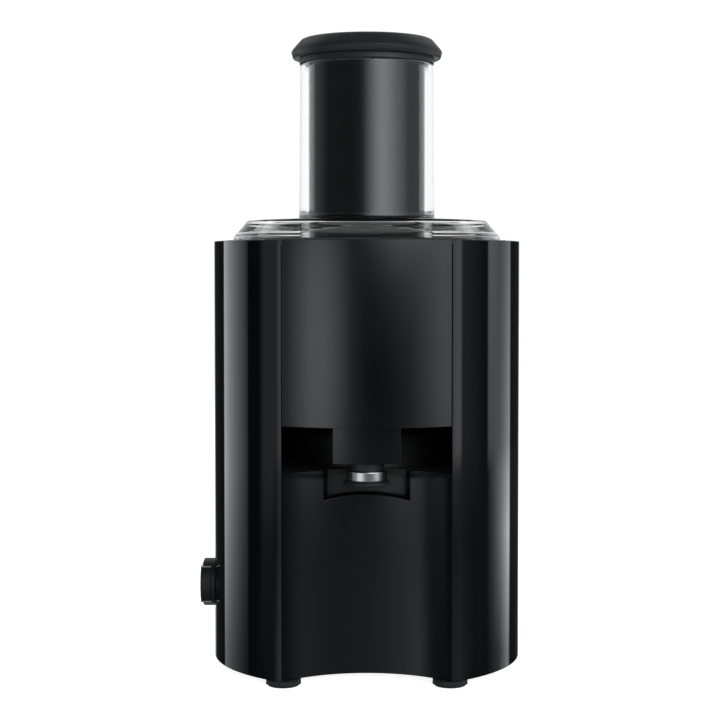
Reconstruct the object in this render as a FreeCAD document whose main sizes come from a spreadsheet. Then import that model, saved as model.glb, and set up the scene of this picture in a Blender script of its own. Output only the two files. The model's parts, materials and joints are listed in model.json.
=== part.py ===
import FreeCAD, Part
import os
import re
import Sketcher

# A centrifugal juicer in millimetres, +Z up. The origin is on the table, on the drive axis.
# The front, with the spout, faces -Y, and the pulp bin stands behind at +Y.

SIZES = {
    # outline of the body, seen from above: a round front, long side arcs and a round rear
    "body_radius": 97,
    "side_radius": 400,
    "rear_radius": 86,
    "wall": 3,
    "rest_gap": 0.3,
    # heights above the table
    "foot_height": 4,
    "deck_top": 128.4,
    "rim_over": 2.6,
    "plate": 3,
    "ledge": 2.4,
    "ledge_over": 0.1,
    # front bay for the jug and the fins each side of it
    "mouth_half": 50.6,
    "tip_band": 3.2,
    "tip_set": 0.66,
    "bay_radius": 68,
    "notch_half": 20.6,
    "notch_drop": 12.9,
    "notch_bevel": 0.6,
    # motor deck
    "dome_radius": 48,
    "dome_rise": 21.6,
    "tower_rise": 27,
    "tower_wall": 3,
    # juice collector
    "bowl_inset": 14.5,
    "bowl_radius": "=body_radius - bowl_inset",
    "bowl_wall": 2.5,
    "bowl_room": 5.5,
    "bowl_lift": 10,
    "tube_over": 28,
    "tube_room": 3,
    "fascia_half": 50.2,
    "fascia_lift": 28.2,
    "fascia_wall": 2.6,
    "spout_half": 20,
    "spout_lift": 6.8,
    "spout_set": 4,
    "spout_front": "=body_radius - spout_set",
    "spout_room": 16.476,
    # nozzle
    "neck_radius": 10.5,
    "neck_rise": 15,
    "nozzle_bore": 8,
    "trim_wall": 1.75,
    "trim_drop": 4.8,
    "trim_height": 6.3,
    "lip_over": 1.75,
    "lip_height": 2.6,
    # pulp bin
    "bin_gap": 3,
    "bin_bottom": 24.3,
    "bin_wall": 2.5,
    "bin_ledge": 14,
    "grip_reach": 17,
    "grip_half": 13,
    "grip_drop": 55,
    "grip_height": 62,
    "grip_thick": 7,
    # base
    "foot_radius": 10.5,
    "foot_x": 50,
    "front_foot_y": 72,
    "rear_foot_y": 132,
    "gland_bore": 3.6,
    "gland_radius": 7,
    "gland_height": 14,
    # columns that take the base and deck screws
    "column_radius": 7,
    "front_column_x": 70,
    "front_column_y": 55,
    "rear_column_y": 25,
    "screw_radius": 1.7,
    "screw_head": 3.4,
    # motor
    "shaft_radius": 4,
    "shaft_tail": 2,
    "bearing_fit": 0.03,
    "bearing_radius": 11,
    "bearing_height": 7,
    "seal_height": 3,
    "stator_radius": 44,
    "stator_ring": 8,
    "brush_room": 23,
    "stator_height": 40,
    "rotor_radius": 23,
    "air_gap": 1,
    "pole_half": 13,
    "slot_count": 12,
    "slot_half": 1.4,
    "slot_depth": 6,
    "coil_thick": 6,
    "coil_width": 10.5,
    "coil_over": 8,
    "commutator_radius": 12,
    "commutator_height": 14,
    "brush_half": 3.5,
    "holder_wall": 2,
    "holder_reach": 38,
    "bracket_rim": 1.7,
    "bracket_reach": 55,
    "bracket_half": 35,
    "bolt_circle": 39.8,
    "bolt_radius": 1.8,
    "mount_x": 47.6,
    "mount_y": 27.5,
    "mount_radius": 7,
    "mount_height": 4.4,
    "fan_radius": 36,
    "fan_drop": 22,
    "fan_height": 12,
    "blade_count": 9,
    # drive coupling and basket
    "coupling_radius": 13,
    "coupling_lift": 4,
    "coupling_height": 26,
    "spline_count": 8,
    "spline_depth": 1.2,
    "basket_wall": 3,
    "basket_lift": 4,
    "basket_radius": 48,
    "mesh_top_radius": 66,
    "mesh_wall": 0.8,
    "mesh_rise": 44.3,
    "rim_radius": 71,
    "rim_height": 6,
    "grater_radius": 43,
    "grater_plate": 1.6,
    "tooth_rings": 3,
    "tooth_count": 22,
    "tooth_height": 1.4,
    # lid, feed chute and pusher
    "lid_inset": 11,
    "lid_wall": 2.5,
    "lid_edge": 5.6,
    "lid_lean": 1.7,
    "lid_slope": 8.3,
    "lid_rise": 15.6,
    "pusher_room": 2.5,
    "chute_wall": 2.8,
    "chute_flare": 0.9,
    "chute_clear": 18,
    "chute_rise": 98.7,
    "pusher_radius": 37,
    "pusher_wall": 2.5,
    "pusher_reach": 4,
    "neck_over": 0.4,
    "cap_over": 5.2,
    "cap_slope": 7,
    "cap_height": 15.7,
    # latches
    "latch_y": 47,
    "latch_width": 18,
    "latch_thick": 6.5,
    "latch_drop": 59.4,
    "latch_over": 4,
    "ear_height": 2,
    "latch_lip": 0.5,
    "pin_radius": 1.5,
    "pin_gap": 0.1,
    # speed knob and its switch
    "knob_radius": 15.1,
    "knob_height": 49,
    "knob_stand": 8.5,
    "knob_reach": "=body_radius + knob_stand",
    "knob_depth": 9.5,
    "knob_chamfer": 1.5,
    "strip_place": 11.15,
    "strip_thick": 0.8,
    "dish_room": 3.9,
    "dish_depth": 1.5,
    "spindle_radius": 3,
    "switch_depth": 24,
    "switch_half": 12,
    # power board and interlock switch
    "board_x": 70,
    "board_half": 25,
    "board_thick": 1.6,
    "board_top": 72,
}

doc = FreeCAD.newDocument("Juicer")
sheet = doc.addObject("Spreadsheet::Sheet", "Sizes")
for row, (name, number) in enumerate(SIZES.items(), start=1):
    sheet.set(f"A{row}", name)
    sheet.set(f"B{row}", str(number))
    sheet.setAlias(f"B{row}", name)
doc.recompute()


# Expressions ------------------------------------------------------------------------------

def bound(text):
    """The expression with each named size pointing at its cell."""
    return re.sub(r"[a-z_]+", lambda word: f"Sizes.{word[0]}" if word[0] in SIZES else word[0], text)


def value(text):
    result = sheet.evalExpression(bound(text))
    return float(getattr(result, "Value", result))


# Sketches ---------------------------------------------------------------------------------

def fix(sketch, kind, where, text):
    """Add one driving constraint and bind it to its expression."""
    index = sketch.addConstraint(Sketcher.Constraint(kind, *where, value(text)))
    sketch.setExpression(f"Constraints[{index}]", bound(text))


def disc(x, y, radius):
    """A circle for a sketch."""
    def draw(sketch):
        centre = FreeCAD.Vector(value(x), value(y), 0)
        circle = Part.Circle(centre, FreeCAD.Vector(0, 0, 1), value(radius))
        edge = sketch.addGeometry(circle, False)
        fix(sketch, "Radius", (edge,), radius)
        fix(sketch, "DistanceX", (edge, 3), x)
        fix(sketch, "DistanceY", (edge, 3), y)
    return draw


def arc_between(start, end, radius):
    """The shorter arc that runs counter-clockwise from start to end."""
    half = (end - start) * 0.5
    reach = (radius ** 2 - half.Length ** 2) ** 0.5
    inward = FreeCAD.Vector(-half.y, half.x, 0).normalize()
    centre = start + half + inward * reach
    circle = Part.Circle(centre, FreeCAD.Vector(0, 0, 1), radius)
    return Part.ArcOfCircle(circle, circle.parameter(start), circle.parameter(end))


def path(*points):
    """A closed outline for a sketch. Each point is x, y and, where the stretch to the
    next point is an arc, its radius and whether it runs left or right of the chord."""
    def draw(sketch):
        spots = [FreeCAD.Vector(value(point[0]), value(point[1]), 0) for point in points]
        ends = []
        for number, point in enumerate(points):
            here = spots[number]
            there = spots[(number + 1) % len(points)]
            if len(point) == 2:
                shape = Part.LineSegment(here, there)
                first, last = 1, 2
            elif point[3] == "left":
                shape = arc_between(here, there, value(point[2]))
                first, last = 1, 2
            else:
                shape = arc_between(there, here, value(point[2]))
                first, last = 2, 1
            ends.append((sketch.addGeometry(shape, False), first, last))
        for number, point in enumerate(points):
            edge, first, last = ends[number]
            after, begin, _ = ends[(number + 1) % len(points)]
            sketch.addConstraint(Sketcher.Constraint("Coincident", edge, last, after, begin))
            fix(sketch, "DistanceX", (edge, first), point[0])
            fix(sketch, "DistanceY", (edge, first), point[1])
            if len(point) > 2:
                fix(sketch, "Radius", (edge,), point[2])
    return draw


def box(x_low, y_low, x_high, y_high):
    """A rectangle for a sketch."""
    return path((x_low, y_low), (x_high, y_low), (x_high, y_high), (x_low, y_high))


def new_sketch(body, plane, offset, loops):
    sketch = body.newObject("Sketcher::SketchObject", f"{body.Name}_outline")
    origin_plane = next(item for item in body.Origin.OriginFeatures if item.Role == plane)
    sketch.AttachmentSupport = [(origin_plane, "")]
    sketch.MapMode = "FlatFace"
    sketch.setExpression("AttachmentOffset.Base.z", bound(offset))
    for draw in loops:
        draw(sketch)
    return sketch


# Bodies and features ----------------------------------------------------------------------

bodies = []


def new_body(label, x="0", y="0", z="0"):
    body = doc.addObject("PartDesign::Body", label)
    body.Label = label
    body.AllowCompound = True
    for direction, place in zip("xyz", (x, y, z)):
        body.setExpression(f"Placement.Base.{direction}", bound(place))
    bodies.append(body)
    return body


def settle(body, feature, before):
    """Recompute, and stop if the feature didn't change the solid the way it should."""
    doc.recompute()
    change = body.Shape.Volume - before
    cuts = feature.TypeId.split("::")[1] in ("Pocket", "Groove", "SubtractiveLoft")
    if (change > -0.01) if cuts else (change < 0.01):
        raise ValueError(f"{feature.Label} changes nothing: {change:.3f}, {feature.State}")
    return feature


def volume_of(body):
    return body.Shape.Volume if body.Shape.Solids else 0.0


def extrude(body, kind, plane, low, high, *loops, taper="0"):
    """Pad or Pocket the loops between two places along the plane's own axis."""
    before = volume_of(body)
    offset = f"-({high})" if plane == "XZ_Plane" else low
    feature_sketch = new_sketch(body, plane, offset, loops)
    feature = body.newObject(f"PartDesign::{kind}", f"{body.Name}_{kind}")
    feature.Profile = feature_sketch
    feature.setExpression("Length", bound(f"({high}) - ({low})"))
    feature.setExpression("TaperAngle", bound(taper))
    feature.Reversed = kind == "Pocket"
    return settle(body, feature, before)


def pad(body, low, high, *loops, taper="0"):
    return extrude(body, "Pad", "XY_Plane", low, high, *loops, taper=taper)


def pocket(body, low, high, *loops, taper="0"):
    return extrude(body, "Pocket", "XY_Plane", low, high, *loops, taper=taper)


def turn(body, *loops, kind="Revolution"):
    """Turn the loops, drawn as radius and height, about the body's own Z axis."""
    before = volume_of(body)
    feature_sketch = new_sketch(body, "XZ_Plane", "0", loops)
    feature = body.newObject(f"PartDesign::{kind}", f"{body.Name}_{kind}")
    feature.Profile = feature_sketch
    feature.ReferenceAxis = (feature_sketch, ["V_Axis"])
    feature.Angle = 360
    return settle(body, feature, before)


def loft(body, kind, *sections, plane="XY_Plane"):
    """Join sections, each given as its place along the plane's axis and its loop."""
    before = volume_of(body)
    sign = "-" if plane == "XZ_Plane" else ""
    sketches = [new_sketch(body, plane, f"{sign}({place})", [loop]) for place, loop in sections]
    feature = body.newObject(f"PartDesign::{kind}", f"{body.Name}_{kind}")
    feature.Profile = sketches[0]
    feature.Sections = sketches[1:]
    feature.Ruled = True
    return settle(body, feature, before)


def polar(body, feature, count):
    """Repeat a feature about the Z axis."""
    before = volume_of(body)
    pattern = body.newObject("PartDesign::PolarPattern", f"{body.Name}_pattern")
    pattern.Originals = [feature]
    z_axis = next(item for item in body.Origin.OriginFeatures if item.Role == "Z_Axis")
    pattern.Axis = (z_axis, [""])
    pattern.Angle = 360
    pattern.setExpression("Occurrences", bound(count))
    body.Tip = pattern
    doc.recompute()
    if abs(body.Shape.Volume - before) < 0.01:
        raise ValueError(f"{pattern.Label} changes nothing")
    return pattern


def tube(body, inner, outer, low, high):
    return turn(body, box(inner, low, outer, high))


# The egg-shaped outline -------------------------------------------------------------------

SIDE_SHIFT = "(side_radius - body_radius)"
REAR_REACH = "(side_radius - rear_radius)"
REAR_CENTRE = f"sqrt({REAR_REACH}^2 - {SIDE_SHIFT}^2)"


def side_x(y, inset="0"):
    """Half the body's width at y, that far inside the outline."""
    return f"(sqrt((side_radius - ({inset}))^2 - ({y})^2) - {SIDE_SHIFT})"


def front_y(x, radius="body_radius"):
    return f"(-sqrt(({radius})^2 - ({x})^2))"


def rear_meeting(inset):
    """Where the side arc runs into the rear arc."""
    reach = f"(side_radius - ({inset}))"
    across = f"({reach} * {SIDE_SHIFT} / {REAR_REACH} - {SIDE_SHIFT})"
    along = f"({reach} * {REAR_CENTRE} / {REAR_REACH})"
    return across, along


def egg(inset):
    """The whole outline, that far inside the body's surface."""
    front = f"body_radius - ({inset})"
    side = f"side_radius - ({inset})"
    rear = f"rear_radius - ({inset})"
    across, along = rear_meeting(inset)
    return path(
        ("0", f"-({front})", front, "left"),
        (front, "0", side, "left"),
        (across, along, rear, "left"),
        (f"-{across}", along, side, "left"),
        (f"-({front})", "0", front, "left"),
    )


def rear_part(inset, y):
    """The outline behind y, that far inside the body's surface."""
    side = f"side_radius - ({inset})"
    across, along = rear_meeting(inset)
    edge = side_x(y, inset)
    return path(
        (f"-{edge}", y),
        (edge, y, side, "left"),
        (across, along, f"rear_radius - ({inset})", "left"),
        (f"-{across}", along, side, "left"),
    )


TIP_Y = f"({front_y('mouth_half')} + tip_set)"
BAY_CENTRE = f"({TIP_Y} - sqrt(bay_radius^2 - mouth_half^2))"
BAY_BACK = f"({BAY_CENTRE} + bay_radius + wall)"
SPOUT_PLACE = f"(spout_room - {BAY_CENTRE} - bay_radius)"
REAR_WALL = "(bowl_radius + bowl_room)"
BIN_FRONT = f"({REAR_WALL} + bin_gap)"

# Heights, each worked out from the piece below -------------------------------------------

BASE_TOP = "(foot_height + plate)"
DOME_TOP = "(deck_top + dome_rise)"
TOWER_TOP = f"({DOME_TOP} + tower_rise)"
BOWL_FLOOR = f"({DOME_TOP} + bowl_lift)"
TUBE_TOP = f"({TOWER_TOP} + tube_over)"
COUPLING_LOW = f"({TOWER_TOP} + coupling_lift)"
COUPLING_TOP = f"({COUPLING_LOW} + coupling_height)"
BASKET_FLOOR = f"({COUPLING_TOP} + basket_lift)"
FLOOR_TOP = f"({BASKET_FLOOR} + basket_wall)"
MESH_TOP = f"({FLOOR_TOP} + mesh_rise)"
BASKET_TOP = f"({MESH_TOP} + rim_height)"
LEDGE_TOP = f"({BASKET_TOP} + ledge_over)"
LEDGE_LOW = f"({LEDGE_TOP} - ledge)"
RIM_TOP = f"({LEDGE_TOP} + rim_over)"
ABOVE = f"({RIM_TOP} + 10)"
FASCIA_LOW = "(deck_top + fascia_lift)"
SPOUT_LOW = "(deck_top + spout_lift)"
TRIM_TOP = f"({SPOUT_LOW} - trim_drop)"
TRIM_LOW = f"({TRIM_TOP} - trim_height)"
LIP_LOW = f"({TRIM_LOW} - lip_height)"
NECK_TOP = f"({TRIM_TOP} + neck_rise)"
LID_LOW = f"({LEDGE_TOP} + rest_gap)"
LID_EDGE_TOP = f"({LID_LOW} + lid_edge)"
LID_TOP = f"({LEDGE_TOP} + lid_rise)"
CHUTE_LOW = f"({FLOOR_TOP} + chute_clear)"
CHUTE_TOP = f"({LID_TOP} + chute_rise)"
PUSHER_LOW = f"({CHUTE_LOW} - pusher_reach)"
CAP_LOW = f"({CHUTE_TOP} + rest_gap)"
CAP_TOP = f"({CAP_LOW} + cap_height)"
LATCH_PIVOT = f"({LEDGE_TOP} - latch_drop)"
LATCH_TOP = f"({LEDGE_TOP} + latch_over)"
GRIP_HIGH = f"({RIM_TOP} - grip_drop)"
GRIP_LOW = f"({GRIP_HIGH} - grip_height)"
UPPER_PLATE = "(deck_top - plate - mount_height - plate)"
STATOR_TOP = f"({UPPER_PLATE} - brush_room)"
STATOR_LOW = f"({STATOR_TOP} - stator_height)"
LOWER_PLATE = f"({STATOR_LOW} - coil_over - 6)"
FAN_LOW = f"({LOWER_PLATE} - fan_drop)"
SHAFT_LOW = f"({FAN_LOW} - shaft_tail)"

# Widths that fit one piece to the next ---------------------------------------------------

CHUTE_BORE = "(pusher_radius + pusher_room)"
CHUTE_OUTER = f"({CHUTE_BORE} + chute_wall)"
CAP_NECK = f"({CHUTE_OUTER} + neck_over)"
CAP_RADIUS = f"({CAP_NECK} + cap_over)"
TRIM_RADIUS = "(neck_radius + trim_wall)"
LIP_RADIUS = f"({TRIM_RADIUS} + lip_over)"
TUBE_INNER = "(bearing_radius + tower_wall + tube_room)"
HUB_RADIUS = "(coupling_radius + rest_gap + basket_wall)"
LEDGE_RADIUS = "(body_radius - wall - rest_gap)"
DISH_RADIUS = "(knob_radius + dish_room)"


def front_room(inset, y):
    """The space inside the body ahead of y and behind the bay's wall."""
    radius = f"(body_radius - ({inset}))"
    side = f"side_radius - ({inset})"
    back = f"(bay_radius + {inset})"
    corner_y = f"(({radius}^2 + {BAY_CENTRE}^2 - {back}^2) / (2 * {BAY_CENTRE}))"
    corner_x = f"sqrt({radius}^2 - {corner_y}^2)"
    edge = side_x(y, inset)
    return path(
        (corner_x, corner_y, radius, "left"),
        (radius, "0", side, "left"),
        (edge, y),
        (f"-{edge}", y, side, "left"),
        (f"-{radius}", "0", radius, "left"),
        (f"-{corner_x}", corner_y, back, "right"),
    )


def at_columns(radius):
    """Circles on the four columns, for a sketch on the XY plane."""
    rear_column_x = side_x("rear_column_y", "wall + column_radius - 1")
    places = [
        ("front_column_x", "-front_column_y"),
        (rear_column_x, "rear_column_y"),
    ]
    return [disc(f"{sign}({x})", y, radius) for x, y in places for sign in ("", "-")]


# Casing -----------------------------------------------------------------------------------

LATCH_OUT = side_x("latch_y + latch_width / 2")
LATCH_IN = f"({LATCH_OUT} - latch_thick)"
LATCH_MIDDLE = f"({LATCH_OUT} - latch_thick / 2)"
LATCH_FRONT = "(latch_y - latch_width / 2)"
LATCH_REAR = "(latch_y + latch_width / 2)"
LATCH_FOOT = f"({LATCH_PIVOT} - latch_thick / 2)"
DISH_FLOOR = "(body_radius - dish_depth)"


def both_sides(x_low, y_low, x_high, y_high):
    right = box(x_low, y_low, x_high, y_high)
    left = box(f"-({x_high})", y_low, f"-({x_low})", y_high)
    return right, left


def housing_shell():
    """The glossy wrap-around casing, open at the front between its two fins."""
    body = new_body("housing_shell")
    inner = "(body_radius - wall)"
    inner_side = "side_radius - wall"
    band_x = "(mouth_half + tip_band)"
    back = f"({REAR_WALL} - wall)"
    outer_edge = side_x(REAR_WALL)
    inner_edge = side_x(back, "wall")
    pad(body, "foot_height", RIM_TOP, path(
        (band_x, front_y(band_x), "body_radius", "left"),
        ("body_radius", "0", "side_radius", "left"),
        (outer_edge, REAR_WALL),
        (f"-{outer_edge}", REAR_WALL, "side_radius", "left"),
        ("-body_radius", "0", "body_radius", "left"),
        (f"-{band_x}", front_y(band_x)),
        ("-mouth_half", TIP_Y),
        ("-mouth_half", front_y("mouth_half", inner), inner, "right"),
        (f"-{inner}", "0", inner_side, "right"),
        (f"-{inner_edge}", back),
        (inner_edge, back, inner_side, "right"),
        (inner, "0", inner, "right"),
        ("mouth_half", front_y("mouth_half", inner)),
        ("mouth_half", TIP_Y),
    ))
    # the rear wall stops below the collector's ledge and clears the base plate
    rear_half = side_x(back, "wall")
    across = box(f"-{rear_half}", f"{back} - 1", rear_half, f"{REAR_WALL} + 1")
    pocket(body, f"{LEDGE_LOW} - rest_gap", ABOVE, across)
    pocket(body, "0", f"{BASE_TOP} + rest_gap", across)
    # screw columns
    pad(body, f"{BASE_TOP} + rest_gap", "deck_top - plate - rest_gap", *at_columns("column_radius"))
    pocket(body, "0", "deck_top", *at_columns("screw_radius + 0.1"))
    # wells for the latches, thickened inside the wall
    well_floor = f"({LATCH_IN} - rest_gap)"
    pad(body, f"{LATCH_FOOT} - wall - 1", f"{LEDGE_LOW} - rest_gap", *both_sides(
        f"{well_floor} - wall", f"{LATCH_FRONT} - rest_gap - wall",
        f"{LATCH_OUT} - 0.5", f"{LATCH_REAR} + rest_gap + wall"))
    pocket(body, f"{LATCH_FOOT} - 0.5", ABOVE, *both_sides(
        well_floor, f"{LATCH_FRONT} - rest_gap", "body_radius + 5", f"{LATCH_REAR} + rest_gap"))
    pin = "pin_radius + pin_gap / 2"
    extrude(body, "Pocket", "XZ_Plane", f"{LATCH_FRONT} - wall", f"{LATCH_REAR} + wall",
            disc(LATCH_MIDDLE, LATCH_PIVOT, pin), disc(f"-{LATCH_MIDDLE}", LATCH_PIVOT, pin))
    # shallow dish and spindle hole for the speed knob
    extrude(body, "Pocket", "YZ_Plane", "-body_radius - 1", f"-{DISH_FLOOR}",
            disc("0", "knob_height", DISH_RADIUS))
    extrude(body, "Pocket", "YZ_Plane", "-body_radius - 1", "-body_radius + wall + 1",
            disc("0", "knob_height", "spindle_radius + rest_gap"))


def front_panel():
    """The satin wall at the back of the jug bay, notched for the nozzle."""
    body = new_body("front_panel")
    half = "(mouth_half - rest_gap)"
    front = f"({BAY_CENTRE} + sqrt(bay_radius^2 - {half}^2))"
    back = f"({BAY_CENTRE} + sqrt((bay_radius + wall)^2 - {half}^2))"
    low = f"-{half}"
    deepest = f"{BAY_CENTRE} + bay_radius"
    pad(body, "foot_height", "deck_top", path(
        (low, front, "bay_radius", "right"),
        ("0", deepest, "bay_radius", "right"),
        (half, front),
        (half, back, "bay_radius + wall", "left"),
        ("0", f"{deepest} + wall", "bay_radius + wall", "left"),
        (low, back),
    ))
    drop = "(deck_top - notch_drop)"
    extrude(body, "Pocket", "XZ_Plane", f"{deepest} - 12", f"{deepest} + 6",
            box("-notch_half", drop, "notch_half", "deck_top + 5"))
    wide = "(notch_half + 12 * notch_bevel)"
    loft(body, "SubtractiveLoft",
         (f"{deepest} + 4", box("-notch_half", drop, "notch_half", "deck_top + 5")),
         (f"{deepest} - 8", box(f"-{wide}", f"{drop} - 12 * notch_bevel", wide, "deck_top + 5")),
         plane="XZ_Plane")


def motor_deck():
    """The deck over the motor, with the dome and the tower that the shaft comes up through."""
    body = new_body("motor_deck")
    inset = "(wall + rest_gap)"
    back = f"({REAR_WALL} - wall - rest_gap)"
    pad(body, "deck_top - plate", "deck_top", front_room(inset, back))
    tower_radius = "(bearing_radius + tower_wall)"
    turn(body, path(
        ("shaft_radius + 1", f"{DOME_TOP} - plate"),
        ("dome_radius - plate", f"{DOME_TOP} - plate"),
        ("dome_radius - plate", "deck_top - plate"),
        ("dome_radius", "deck_top - plate"),
        ("dome_radius", f"{DOME_TOP} - 3"),
        ("dome_radius - 3", DOME_TOP),
        (tower_radius, DOME_TOP),
        (tower_radius, TOWER_TOP),
        ("shaft_radius + 1", TOWER_TOP),
    ))
    pocket(body, "deck_top - plate - 1", f"{DOME_TOP} - plate", disc("0", "0", "dome_radius - plate"))
    pocket(body, f"{TOWER_TOP} - seal_height", f"{TOWER_TOP} + 1", disc("0", "0", "bearing_radius"))
    pocket(body, "deck_top - plate - 1", "deck_top + 1", *at_columns("screw_radius + 0.1"))
    # skirt that closes the nozzle's notch from behind
    half = "(notch_half + 4)"
    skirt = f"({BAY_BACK} + rest_gap)"
    pad(body, "deck_top - notch_drop - 4", "deck_top - 1",
        box(f"-{half}", skirt, half, f"{skirt} + 2.5"))


def base_plate():
    """The floor of the casing, with the hollow shelf behind that carries the pulp bin."""
    body = new_body("base_plate")
    inset = "(wall + rest_gap)"
    start = f"({REAR_WALL} + rest_gap)"
    shelf_top = "(bin_bottom - rest_gap)"
    pad(body, "foot_height", BASE_TOP, front_room(inset, f"{start} + 1"))
    pad(body, "foot_height", shelf_top, rear_part("0", start))
    pocket(body, "foot_height - 1", f"{shelf_top} - plate", rear_part("wall", f"{start} + wall"))
    rear_feet = [disc(f"{sign}foot_x", "rear_foot_y", "foot_radius") for sign in ("", "-")]
    pad(body, "foot_height", f"{shelf_top} - 1", *rear_feet)
    pocket(body, "0", BASE_TOP + " + 1", *at_columns("screw_radius + 0.1"))
    pocket(body, "0", "foot_height + 1.2", *at_columns("screw_head + 0.2"))
    # air slots below the fan
    slots = extrude(body, "Pocket", "XY_Plane", "0", f"{BASE_TOP} + 1",
                    box("14", "-1.6", "fan_radius - 4", "1.6"))
    polar(body, slots, "12")
    rear = f"({REAR_CENTRE} + rear_radius)"
    extrude(body, "Pocket", "XZ_Plane", f"{rear} - wall - 4", f"{rear} + 2",
            disc("0", "gland_height", "gland_bore + 2"))


def rubber_feet():
    body = new_body("rubber_feet")
    places = [("foot_x", "-front_foot_y"), ("foot_x", "rear_foot_y")]
    spots = [(f"{sign}{x}", y) for x, y in places for sign in ("", "-")]
    bevel = "1.3"
    pad(body, bevel, "foot_height", *[disc(x, y, "foot_radius") for x, y in spots])
    pad(body, "0", bevel, *[disc(x, y, f"foot_radius - {bevel}") for x, y in spots], taper="40")


def screws(label, low, high, head_low, head_high):
    body = new_body(label)
    pad(body, low, high, *at_columns("screw_radius - 0.2"))
    pad(body, head_low, head_high, *at_columns("screw_head"))
    return body


def base_screws():
    screws("base_screws", "foot_height + 0.6", "foot_height + 26", "foot_height - 1", "foot_height + 1.2")


def deck_screws():
    screws("deck_screws", "deck_top - 22", "deck_top + 1", "deck_top", "deck_top + 2.2")


def cord_gland():
    """The rubber bush in the rear shelf that the mains lead would come through."""
    body = new_body("cord_gland")
    rear = f"({REAR_CENTRE} + rear_radius)"
    extrude(body, "Pad", "XZ_Plane", f"{rear} - wall - 3", f"{rear} + 0.2",
            disc("0", "gland_height", "gland_bore + 1.9"))
    extrude(body, "Pad", "XZ_Plane", f"{rear} + 0.2", f"{rear} + 3",
            disc("0", "gland_height", "gland_radius"))
    extrude(body, "Pad", "XZ_Plane", f"{rear} - wall - 5", f"{rear} - wall - 0.5",
            disc("0", "gland_height", "gland_radius"))
    extrude(body, "Pocket", "XZ_Plane", f"{rear} - wall - 6", f"{rear} + 4",
            disc("0", "gland_height", "gland_bore"))


# Motor ------------------------------------------------------------------------------------

BOLTS = [
    disc(f"{x}bolt_circle * cos(45)", f"{y}bolt_circle * cos(45)", "bolt_radius + 0.2")
    for x in ("", "-") for y in ("", "-")
]


def lower_bracket():
    """The cup below the stator, with the lower bearing in its boss."""
    body = new_body("lower_bracket")
    low = f"({LOWER_PLATE} - plate)"
    boss = f"({LOWER_PLATE} - bearing_height)"
    turn(body, path(
        ("bearing_radius", boss),
        ("bearing_radius + 3", boss),
        ("bearing_radius + 3", low),
        ("stator_radius", low),
        ("stator_radius", f"{STATOR_LOW} - 0.1"),
        ("stator_radius - bracket_rim", f"{STATOR_LOW} - 0.1"),
        ("stator_radius - bracket_rim", LOWER_PLATE),
        ("bearing_radius", LOWER_PLATE),
    ))
    pocket(body, f"{low} - 1", f"{LOWER_PLATE} + 1", *BOLTS)
    window = pocket(body, f"{low} - 1", f"{LOWER_PLATE} + 1",
                    box("bearing_radius + 6", "-5", "stator_radius - 9", "5"))
    polar(body, window, "8")


def upper_bracket():
    """The frame above the stator, with ears for the rubber mounts."""
    body = new_body("upper_bracket")
    top = f"({UPPER_PLATE} + plate)"
    pad(body, UPPER_PLATE, top, box("-bracket_reach", "-bracket_half", "bracket_reach", "bracket_half"))
    turn(body, box("stator_radius - bracket_rim", f"{STATOR_TOP} + 0.1",
                   "stator_radius", f"{UPPER_PLATE} + 1"))
    pad(body, UPPER_PLATE, f"{UPPER_PLATE} + bearing_height", disc("0", "0", "bearing_radius + 3"))
    pocket(body, f"{UPPER_PLATE} - 1", f"{UPPER_PLATE} + bearing_height + 1",
           disc("0", "0", "bearing_radius"))
    pocket(body, f"{UPPER_PLATE} - 1", f"{top} + 1", *BOLTS)
    # windows in the rim, above the coils, let the cooling air through
    windows = extrude(body, "Pocket", "YZ_Plane", "-stator_radius - 1", "stator_radius + 1",
                      box("-10", f"{STATOR_TOP} + 4", "10", f"{UPPER_PLATE} - 4"))
    polar(body, windows, "4")


def bearing(label, low):
    body = new_body(label, z=low)
    bore = "shaft_radius + bearing_fit"
    middle = "(shaft_radius + bearing_radius) / 2"
    turn(body, path(
        (bore, "0"),
        (f"{middle} - 1.5", "0"),
        (f"{middle} - 1.5", "0.5"),
        (f"{middle} + 1.5", "0.5"),
        (f"{middle} + 1.5", "0"),
        ("bearing_radius", "0"),
        ("bearing_radius", "bearing_height"),
        (f"{middle} + 1.5", "bearing_height"),
        (f"{middle} + 1.5", "bearing_height - 0.5"),
        (f"{middle} - 1.5", "bearing_height - 0.5"),
        (f"{middle} - 1.5", "bearing_height"),
        (bore, "bearing_height"),
    ))


def shaft_seal():
    body = new_body("shaft_seal")
    low = f"({TOWER_TOP} - seal_height)"
    turn(body, path(
        ("shaft_radius + 0.3", low),
        ("bearing_radius", low),
        ("bearing_radius", TOWER_TOP),
        ("bearing_radius - 2", TOWER_TOP),
        ("bearing_radius - 4", f"{TOWER_TOP} - 1.5"),
        ("shaft_radius + 0.3", f"{TOWER_TOP} - 0.5"),
    ))


def stator_core():
    """The laminated ring with its two poles."""
    body = new_body("stator_core")
    inner = "(stator_radius - stator_ring)"
    pad(body, STATOR_LOW, STATOR_TOP, disc("0", "0", "stator_radius"), disc("0", "0", inner))
    poles = [box("-pole_half", low, "pole_half", high)
             for low, high in (("rotor_radius - 8", f"{inner} + 2"), (f"-{inner} - 2", "8 - rotor_radius"))]
    pad(body, STATOR_LOW, STATOR_TOP, *poles)
    pocket(body, f"{STATOR_LOW} - 1", f"{STATOR_TOP} + 1", disc("0", "0", "rotor_radius + air_gap"))
    pocket(body, f"{STATOR_LOW} - 1", f"{STATOR_TOP} + 1", *BOLTS)


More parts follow.
